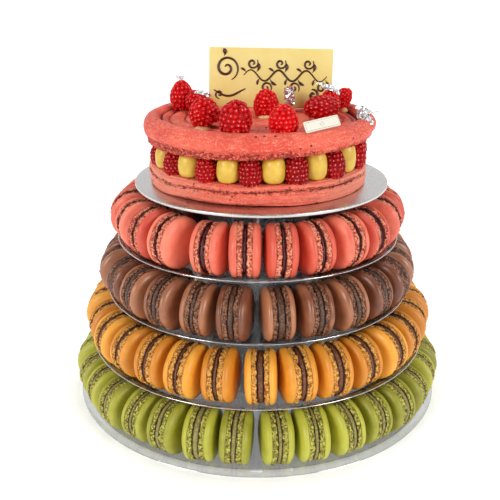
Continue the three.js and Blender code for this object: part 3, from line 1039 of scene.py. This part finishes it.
def add_upper_shell(tree, crust):
    """A disc with a rim and a spiral, its inner side sunk in folds at one end."""
    points, groove, rings = upper_points()
    radius = np.hypot(points[:, 0], points[:, 1])
    around = np.degrees(np.arctan2(points[:, 0], -points[:, 1]))
    inside = between(radius, 70, 78, 82, 87) * (points[:, 2] > 10)
    folds = 0.5 + 0.5 * np.cos(2 * math.pi * (radius / FOLD_PITCH + around / 40))
    hollow = between(around, 62, 84, 106, 116) * inside * (0.4 + 0.6 * folds)
    points[:, 2] -= HOLLOW_DEPTH * hollow
    # Painted shade also fills the sunken hollow.
    groove = np.maximum(groove, hollow)
    below_crest = (radius > 89) | (points[:, 2] < 8)
    slope_share = below_crest * np.clip(1 - points[:, 2] / UPPER_SHELL_HIGH, 0, 1)
    points[:, 2] += slope_share * FILLING_SLOPE * (points[:, 0] + UPPER_SHELL_SHIFT)
    foot = smoothstep(6.8 - points[:, 2], 0, 3.2) * smoothstep(radius, 84, 92)
    made = new_piece("upper_shell_base", points, ring_faces(rings, UPPER_SECTORS), foot=foot,
                     groove=groove)
    moved(made, (UPPER_SHELL_SHIFT, 0, UPPER_SHELL_Z))
    made = tree.grow("upper_cake_shell", made, Grain=1.2 * MM, Crumb=1.4 * MM, Uneven=1.8 * MM,
                     Seed=8.0, Skin=crust)
    place(made, "cake_shell", "upper_shell")


def filling_top(x):
    """The filling grows towards +X, where the shell above it thins."""
    return FILLING_HIGH + FILLING_SLOPE * x


def towards_back(degrees):
    """0 round the front of the filling and 1 round its back."""
    return smoothstep(-math.cos(math.radians(degrees)), -0.36, -0.12)


CORE_RADIUS = 72.0
# Half width and height up a piped bulb.
BULB_LINE = [(0, 0), (5.0, 0.05), (7.4, 1.2), (8.7, 3.8), (BULB_RADIUS, 7.4),
             (BULB_RADIUS, 10.8), (8.9, 14.0), (8.0, 17.2), (6.4, FILLING_HIGH - 0.3),
             (4, FILLING_HIGH), (0, FILLING_HIGH)]


def filling_core():
    """The cream behind the bulbs, which grows with the gap between the shells."""
    low, high = 0.1, FILLING_HIGH - 0.1
    core = turned("core", [(0, low), (CORE_RADIUS - 1, low), (CORE_RADIUS, 1.5),
                           (CORE_RADIUS, FILLING_HIGH - 1.5), (CORE_RADIUS - 1, high),
                           (0, high)], 96)
    for vertex in core.data.vertices:
        vertex.co.z *= filling_top(vertex.co.x / MM) / FILLING_HIGH
    return moved(core, (0, 0, FILLING_Z))


def add_filling(cream):
    """Piped bulbs round a core; those at the back stand a step further in."""
    bulb = turned("bulb", rounded(BULB_LINE, 3), 40)
    core = filling_core()
    spots = []
    luck = random.Random(5)
    for i in range(BULBS):
        angle = BULB_TURN + i * 360 / BULBS
        x, y = polar(BULB_RING - BULB_STEP * towards_back(angle), angle)
        turn, wide = luck.uniform(0, 6.28), luck.uniform(0.97, 1.0)
        spots.append(dict(at=(x, y, FILLING_Z), turn=(0, 0, turn),
                          size=np.array([wide, wide, filling_top(x) / FILLING_HIGH])))
    made = bulb_tree().grow("piped_cream", spread("bulb_points", spots), Bulb=bulb, Core=core,
                            Uneven=1.1 * MM, Seed=4.0, Skin=cream)
    discard(bulb, core)
    place(made, "cream", "cream_filling")


# ---- raspberries

BERRY_HIGH = 20.0
BERRY_WIDE = 20.0
BERRY_LINE = [(0.0, 0.78), (0.12, 0.92), (0.3, 1.0), (0.5, 0.98), (0.68, 0.88), (0.82, 0.7),
              (0.93, 0.45), (1.0, 0.09)]
BERRY_CORE = 1.1
BERRY_FILL = 0.94
DRUPELET_PITCH = 3.0


def berry_radius(height):
    """A raspberry's half width at a height from 0, its open end, to 1, its tip."""
    heights, widths = zip(*BERRY_LINE)
    return BERRY_WIDE / 2 * float(np.interp(height, heights, widths))


def berry_rows():
    """Heights up the berry, from 0 to 1, a drupelet's pitch apart along its outline."""
    heights = np.linspace(0.05, 1, 100)
    radius = np.array([berry_radius(t) for t in heights])
    steps = np.hypot(np.diff(radius), np.diff(heights) * BERRY_HIGH * BERRY_FILL)
    along = np.concatenate([[0], np.cumsum(steps)])
    count = round(along[-1] / DRUPELET_PITCH) + 1
    return np.interp(np.linspace(0, along[-1], count), along, heights)


def drupelet_spots():
    """Staggered rows of drupelets up the berry."""
    luck = random.Random(11)
    spots = []
    for row, t in enumerate(berry_rows()):
        radius = berry_radius(t) - BERRY_CORE
        count = max(1, round(2 * math.pi * radius / DRUPELET_PITCH))
        rise = berry_radius(t - 0.04) - berry_radius(min(1, t + 0.04))
        slope = math.atan2(rise, 0.08 * BERRY_HIGH) if count > 1 else math.pi / 2
        for i in range(count):
            angle = 2 * math.pi * (i + 0.5 * (row % 2) + luck.uniform(-0.3, 0.3)) / count
            at = (radius * math.cos(angle), radius * math.sin(angle),
                  BERRY_HIGH * BERRY_FILL * t + luck.uniform(-0.4, 0.4))
            turn = Matrix.Rotation(angle, 3, "Z") @ Matrix.Rotation(math.pi / 2 - slope, 3, "Y")
            spots.append(dict(at=at, turn=tuple(turn.to_euler("XYZ")),
                              size=luck.uniform(1.66, 2.12)))
    return spots


def drupelet_dome():
    """One drupelet: a dome of radius 1 that faces +Z, on a short skirt, with masks for painted
    shade low on it and a painted glint on its top.
    """
    profile = [(0, -0.5), (0.97, -0.1), (0.84, 0.38), (0.45, 0.64), (0, 0.72)]
    return turned("drupelet", profile, 8, deep=lambda r, z: smoothstep(-z, -0.25, 0.25),
                  crown=lambda r, z: smoothstep(z, 0.6, 0.72))


def berry_shapes():
    drupelets = spread("drupelets", drupelet_spots())
    drupelets.data.attributes.remove(drupelets.data.attributes["tone"])
    heights = np.linspace(0.02, 0.97, 10)
    profile = [(0, 0.5)] + [(berry_radius(t) - 0.5 * BERRY_CORE, BERRY_HIGH * BERRY_FILL * t)
                            for t in heights]
    # The core is all painted shade and carries no glint.
    core = turned("berry_core", profile + [(0, BERRY_HIGH * (BERRY_FILL - 0.01))], 20,
                  deep=lambda r, z: np.ones_like(r), crown=lambda r, z: np.zeros_like(r))
    return drupelets, core, drupelet_dome()


# Length, width, tilt from upright, the angle round the cake that it tilts to, ripeness.
TOP_BERRIES = [
    (26.2, 25.6, 4, 30, 0.6), (22.8, 23.2, 5, -60, 0.95), (22.6, 22, 6, 0, 0.9),
    (25.6, 21.4, 4, -90, 0.85), (22, 19.6, 84, 0, 0.7), (22.6, 25.2, 22, -100, 0.8),
    (29.5, 20.8, 84, -62, 0.55), (21.4, 18, 5, 90, 0.9), (21.2, 16.2, 42, 60, 0.9),
]
TOP_BERRY_FIT = 0.985


def berry_turn(tilt, towards, spin):
    """Euler angles of a berry tilted from upright towards a direction round the cake."""
    axis = Vector((*polar(1, towards + 90), 0))
    turn = Matrix.Rotation(math.radians(tilt), 3, axis) @ Matrix.Rotation(spin, 3, "Z")
    return tuple(turn.to_euler("XYZ"))


def ring_berries(luck):
    """The raspberries between the bulbs, each as long as the gap that it fills."""
    spots = []
    for i in range(BULBS):
        angle = BULB_TURN + (i + 0.5) * 360 / BULBS
        x, y = polar(RING_BERRY_RING - RING_BERRY_STEP * towards_back(angle), angle)
        turn = berry_turn(luck.uniform(0, 4), luck.uniform(0, 360), luck.uniform(0, 6.28))
        wide = luck.uniform(0.92, 0.965) * (0.3 + 0.7 * filling_top(x) / FILLING_HIGH)
        size = np.array([wide, wide, RING_BERRY_PRESS * filling_top(x) / BERRY_HIGH])
        spots.append(dict(at=(x, y, FILLING_Z - RING_BERRY_SINK), turn=turn, size=size,
                          tone=luck.uniform(0.25, 0.55)))
    return spots


def top_berries(luck):
    """The raspberries on top, round the middles of their solids."""
    spots = []
    for number, (length, width, tilt, towards, tone) in enumerate(TOP_BERRIES, 1):
        low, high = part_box(f"top_berry_{number}")
        centre = (low + high) / 2 / MM
        wide, long = width / BERRY_WIDE, length / BERRY_HIGH
        turn = berry_turn(tilt, towards, luck.uniform(0, 6.28))
        foot = centre - Euler(turn).to_matrix() @ Vector((0, 0, length / 2))
        spots.append(dict(at=tuple(foot), turn=turn, tone=tone,
                          size=np.array([wide, wide, long]) * TOP_BERRY_FIT))
    return spots


def add_berries(skin):
    """The ring between the shells and the berries on top, each group as one piece."""
    tree = berry_tree()
    drupelets, core, bead = berry_shapes()
    luck = random.Random(21)
    groups = [("filling_raspberries", "filling_berry_", ring_berries(luck), 1.2, 2.0),
              ("top_raspberries", "top_berry_", top_berries(luck), 1.4, 6.0)]
    for name, nodes, spots, uneven, seed in groups:
        made = tree.grow(name, spread("berry_points", spots), Drupelets=drupelets, Bead=bead,
                         Core=core, Uneven=uneven * MM, Seed=seed, Skin=skin)
        place(made, "raspberry", *nodes_named(nodes))
    discard(drupelets, core, bead)


# ---- plaque and card

# Each slab's sizes, then its turns about Z, X and its own face.
PLAQUE = dict(width=108.0, height=51.0, thick=3.6, corner=1.5, bevel=0.5,
              yaw=4, tilt=83, roll=-1.5)
CARD = dict(width=33.6, height=8.6, thick=0.8, corner=1.0, bevel=0.15,
            yaw=33, tilt=60, roll=4.4)
CORNER_STEPS = 5


def slab(name, sizes):
    """A flat slab facing +Z, with rounded corners and softened edges."""
    width, height, thick, corner, bevel = (sizes[key] for key in (
        "width", "height", "thick", "corner", "bevel"))
    outline = []
    for quarter, (sx, sy) in enumerate(((1, -1), (1, 1), (-1, 1), (-1, -1))):
        for k in range(CORNER_STEPS + 1):
            angle = math.radians(90 * (quarter - 1) + 90 / CORNER_STEPS * k)
            outline.append((sx * (width / 2 - corner) + corner * math.cos(angle),
                            sy * (height / 2 - corner) + corner * math.sin(angle)))
    outline = np.array(outline)
    shrunk = np.array([1 - 2 * bevel / width, 1 - 2 * bevel / height])
    layers = [(shrunk, -thick / 2), (1.0, -thick / 2 + bevel), (1.0, thick / 2 - bevel),
              (shrunk, thick / 2)]
    points = [(0, 0, -thick / 2)]
    for scale, z in layers:
        points.extend((x, y, z) for x, y in outline * scale)
    points.append((0, 0, thick / 2))
    return new_piece(name, points, ring_faces(len(layers), len(outline)), smooth=False)


def slab_matrix(node, sizes):
    """Stands a flat slab where the solid of this name is."""
    low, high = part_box(node)
    matrix = Matrix.Translation((low + high) / 2)
    for turn, axis in (("yaw", "Z"), ("tilt", "X"), ("roll", "Z")):
        matrix = matrix @ Matrix.Rotation(math.radians(sizes[turn]), 4, axis)
    return matrix


STROKE_TAIL = 0.35


def stroke(points, thick):
    """A line of icing that thins towards both ends."""
    last = len(points) - 1
    swell = [max(0, math.sin(math.pi * i / last)) ** 0.6 for i in range(last + 1)]
    return points, [thick * (STROKE_TAIL + (1 - STROKE_TAIL) * full) for full in swell]


def curl(x, y, size, start, turns, thick, flip=1):
    """A scroll that winds outwards from its middle."""
    steps = int(26 * turns) + 6
    line = []
    for t in np.arange(steps + 1) / steps:
        angle = math.radians(start) + flip * 2 * math.pi * turns * t
        reach = size * (0.12 + 0.88 * t)
        line.append((x + reach * math.cos(angle), y + reach * math.sin(angle)))
    return stroke(line, thick)


def wave(x0, x1, y, rise, cycles, thick, phase=0.0):
    """A line that swings above and below y on its way from x0 to x1."""
    return stroke([(x0 + (x1 - x0) * t, y + rise * math.sin(2 * math.pi * (cycles * t) + phase))
                   for t in np.arange(91) / 90], thick)


def dot(x, y, size):
    return [(x - 0.05, y), (x + 0.05, y)], [size, size]


def leaf(x, y, heading, length, thick):
    """A teardrop of icing that bends a little."""
    parts = np.arange(13) / 12
    line = [(x + length * t * math.cos(math.radians(heading + 34 * t)),
             y + length * t * math.sin(math.radians(heading + 34 * t))) for t in parts]
    return line, [thick * (0.12 + 0.88 * math.sin(math.pi * t ** 1.5)) for t in parts]


def ornament_lines():
    """A running vine with scrolls and leaves on both sides, a large scroll and a flourish."""
    lines = [wave(-24, 49, 2.0, 4.6, 3.0, 1.1)]
    for i in range(6):
        x = -17.9 + 12.2 * i
        side = 1 if i % 2 == 0 else -1
        crest = 2.0 + side * 4.6
        lines.append(curl(x + 1.5, crest + side * 5.6, 5.0, -90 * side, 1.35, 1.15, side))
        lines.append(leaf(x + 5.0, crest - side * 1.6, side * 58 - 17, 7.6, 1.6))
        lines.append(leaf(x - 4.0, crest - side * 2.2, 180 - side * 52 - 17, 6.2, 1.3))
    lines.append(curl(-39, 8.0, 11.0, 150, 1.6, 1.4, -1))
    lines.append(leaf(-41, 18.0, 62, 6.5, 2.2))
    lines.append(wave(-50, -22, -12.5, 3.4, 0.75, 1.2, 2.6))
    lines.append(curl(-45, -14.5, 3.8, 200, 1.2, 1.1))
    lines.append(curl(37.5, -14.0, 4.8, 20, 1.25, 1.7))
    lines.append(leaf(41, -18.5, 12, 9.0, 1.8))
    for i in range(3):
        lines.append(dot(46 + 2.4 * i, -9.5 - 1.8 * i, 1.5 - 0.3 * i))
    return lines


def border_lines():
    """A thin frame and a small diamond, for the card."""
    x, y = CARD["width"] / 2 - 1.1, CARD["height"] / 2 - 1.1
    frame_line = [(-x, -y), (x, -y), (x, y), (-x, y), (-x, -y)]
    diamond = [(-2.0, 0), (0, 1.6), (2.0, 0), (0, -1.6), (-2.0, 0)]
    return [(frame_line, [1.0] * 5), (diamond, [1.0] * 5)]


def piping(name, lines, lift, thickness, material):
    """Icing laid along flat lines, at a height over the middle of the slab under it."""
    points, edges, widths = [], [], []
    for line, width in lines:
        start = len(points)
        points.extend((x, y, lift) for x, y in line)
        edges.extend((start + i, start + i + 1) for i in range(len(line) - 1))
        widths.extend(width)
    base = linked(name + "_lines", new_mesh(name, points, edges, width=widths))
    return piping_tree().grow(name, base, Thickness=thickness * MM, Skin=material)


def add_slab(node, slot, sizes, name, finish, drawing, lines, thickness, ink):
    """A slab in place of the solid of this name, with lines drawn on its face."""
    matrix = slab_matrix(node, sizes)
    made = slab(name, sizes)
    made.data.transform(matrix)
    place(made, slot, node, finish=finish)
    drawn = piping(drawing, lines, sizes["thick"] / 2, thickness, ink)
    drawn.data.transform(matrix)
    place(drawn, slot)


def add_plaque():
    dark = ink_finish("dark_icing", (52, 16, 10), (86, 34, 20))
    add_slab("plaque", "pale_chocolate", PLAQUE, "chocolate_plaque", plaque_finish(),
             "plaque_piping", ornament_lines(), 0.85, dark)


def add_card():
    ink = ink_finish("card_ink", (84, 118, 116), (120, 150, 146))
    add_slab("card", "ivory_card", CARD, "place_card", card_finish(),
             "card_border", border_lines(), 0.12, ink)


# ---- silver leaf and cream dabs

# Each scrap's middle over the crests of the top, its length, width and rise, its turn.
SCRAPS = [
    ((-69, 28, 28.4), (6, 3, 4), (70, 20, 10)),
    ((-66, 28, 28.0), (6, 2.5, 4), (100, -30, 50)),
    ((-45, -44, 25.6), (11, 6, 4), (20, 10, -15)),
    ((-40, -44, 24.8), (7, 5, 3), (-15, 20, 40)),
    ((27, 18, 14.0), (17, 9, 5), (0, 86, 80)),
    ((28, 18, 11.0), (12, 10, 5), (0, 80, 40)),
    ((54, 2, 24.0), (11, 6, 5), (20, 30, 20)),
    ((60, 4, 22.5), (11, 7, 5), (30, 18, -20)),
    ((66, 8, 19.0), (9, 6, 4), (35, 30, 10)),
    ((84.5, -22, 6.5), (12, 11, 8), (60, 20, 20)),
    ((86.5, -29, 5.5), (11, 11, 8), (80, -20, 70)),
    ((85.5, -35, 4.0), (12, 10, 8), (-40, 50, 60)),
    ((87.5, -36, 1.5), (11, 10, 7), (50, 60, -40)),
    ((94.5, -22, 6.5), (11, 1.8, 2), (0, -8, 10)),
    ((90.5, -22, 8.5), (9, 1.6, 2), (30, 25, -30)),
]
SCRAP_GRID = (9, 7)
SCRAP_THICK = 0.25
# Middle and radius of each dab of cream that a berry stands in.
DABS = [(-44, -53, 6.6), (-18.5, -75.6, 6.6), (6.5, -3.0, 6.4), (76, 27, 3.6)]


def sheet_faces(across, along):
    """Faces of a thin closed sheet: a grid of points, and the same points again under it."""
    grid = np.arange(across * along).reshape(across, along)
    count, faces = across * along, []
    for a, b in zip(grid[:-1, :-1].ravel().tolist(), grid[1:, :-1].ravel().tolist()):
        faces.append((a, b, b + 1, a + 1))
        faces.append((count + a, count + a + 1, count + b + 1, count + b))
    edge = [*grid[:, 0], *grid[-1, 1:], *grid[-2::-1, -1], *grid[0, -2:0:-1]]
    faces.extend((b, a, count + a, count + b) for a, b in zip(edge, edge[1:] + edge[:1]))
    return faces


def crumpled(number, at, size, turn):
    """A thin scrap of leaf, torn at its edges and pressed into sharp folds."""
    luck = np.random.default_rng(number)
    u, v = np.meshgrid(*(np.linspace(-1, 1, count) for count in SCRAP_GRID), indexing="ij")
    ragged = 1 + luck.uniform(-0.22, 0.12, u.shape)
    round_off = 1 - 0.18 * (u * v) ** 2
    x = u * ragged * round_off + luck.uniform(-0.06, 0.06, u.shape)
    y = v * ragged * round_off + luck.uniform(-0.06, 0.06, u.shape)
    folds = 0.5 * np.abs(np.sin(4.1 * x + 2.3 * y + number))
    folds += 0.4 * np.abs(np.sin(3.3 * y - 1.9 * x))
    z = folds + luck.uniform(-0.3, 0.3, u.shape) - 0.5 * x * x
    face = (np.stack([x, y, z], axis=-1) * np.array(size) / 2).reshape(-1, 3)
    points = np.concatenate([face, face - (0, 0, SCRAP_THICK)])
    matrix = np.array(Euler([math.radians(value) for value in turn]).to_matrix())
    points = points @ matrix.T + np.array(at) + (0, 0, TOPPING_Z)
    return new_piece(f"scrap_{number}", points, sheet_faces(*SCRAP_GRID), smooth=False)


def add_leaf():
    """All scraps of silver leaf as one piece."""
    made = joined("silver_leaf", [crumpled(number, *row) for number, row in enumerate(SCRAPS)])
    place(made, "silver_card", finish=leaf_finish())


def dab(x, y, wide):
    """One low round dab of cream, sunk a little into the shell."""
    line = rounded([(0, -2.5), (wide * 0.7, -2.2), (wide, -1.0), (wide * 0.86, 0.7),
                    (wide * 0.5, 1.8), (0, 2.0)], 3)
    return moved(turned("dab", line, 24), (x, y, TOPPING_Z))


def add_dabs():
    """The dabs of cream under the berries on top."""
    made = joined("cream_dabs", [dab(*row) for row in DABS])
    place(made, "cream", finish=dab_finish())


def add_cake():
    tree = crust_tree()
    crust = cake_finish()
    cream = cream_finish()
    add_board()
    add_lower_shell(tree, crust)
    add_filling(cream)
    add_upper_shell(tree, crust)
    add_berries(berry_finish())
    add_plaque()
    add_card()
    add_leaf()
    add_dabs()


# ---- studio

# Where each lamp shines from, its strength and its width in degrees.
LAMPS = {
    "left": ((-1.1, -1.0, 0.62), 1.6, 26),
    "right": ((1.15, -1.0, 0.58), 1.55, 26),
    "top": ((0.1, 0.4, 1.2), 1.0, 40),
}
FLOOR_SIZE = 40
# The camera's place in metres, its tilt down in degrees, its lens and sensor in mm.
CAMERA_AT = (-0.0067, -0.6478, 0.3676)
CAMERA_DOWN = 20.62
CAMERA_LENS = 55.1
CAMERA_SENSOR = 36.0


def add_sun(name, at, power, degrees):
    """A broad soft lamp that shines on the origin from the direction of at."""
    lamp = bpy.data.lights.new(name, "SUN")
    lamp.energy = power
    lamp.angle = math.radians(degrees)
    made = linked(name, lamp)
    made.location = at
    made.rotation_euler = (-made.location).to_track_quat("-Z", "Y").to_euler()


def add_floor():
    bpy.ops.mesh.primitive_plane_add(size=FLOOR_SIZE)
    floor = bpy.context.object
    floor.name = "floor"
    made = Finish("pale_floor", Roughness=0.7, Specular_IOR_Level=0.1,
                  Emission_Color=(1, 1, 1, 1), Emission_Strength=0.32)
    made.set("Base Color", made.mix(made.noise(0.002, 1.0), (250, 250, 250),
                                    (253, 253, 253)))
    floor.data.materials.append(made.material)


def add_world():
    """A white backdrop, brighter behind the tower and round the horizon than in front."""
    world = bpy.data.worlds.new("studio")
    world.use_nodes = True
    sky = Graph(world.node_tree)
    way = sky.node("ShaderNodeTexCoord", out="Generated")
    depth = sky.node("ShaderNodeSeparateXYZ", {0: way}, out="Y")
    rise = sky.node("ShaderNodeSeparateXYZ", {0: way}, out="Z")
    glow = 0.12 + sky.smooth(depth, -0.2, 0.8) * 0.66
    horizon = 1 - sky.smooth(rise, 0.05, 0.2)
    background = world.node_tree.nodes["Background"]
    background.inputs["Color"].default_value = (1, 1, 1, 1)
    sky.feed(background.inputs["Strength"], glow + horizon * (1.0 - glow))
    bpy.context.scene.world = world


def add_studio():
    add_floor()
    add_world()
    for name, lamp in LAMPS.items():
        add_sun(name, *lamp)
    bpy.context.scene.view_settings.view_transform = "Standard"


def add_camera():
    camera = bpy.data.cameras.new("camera")
    camera.lens = CAMERA_LENS
    camera.sensor_width = CAMERA_SENSOR
    made = linked("camera", camera)
    made.location = CAMERA_AT
    made.rotation_euler = (math.radians(90 - CAMERA_DOWN), 0, 0)
    bpy.context.scene.camera = made


# ---- the whole tower

add_camera()
add_tiers()
add_cake()
add_studio()
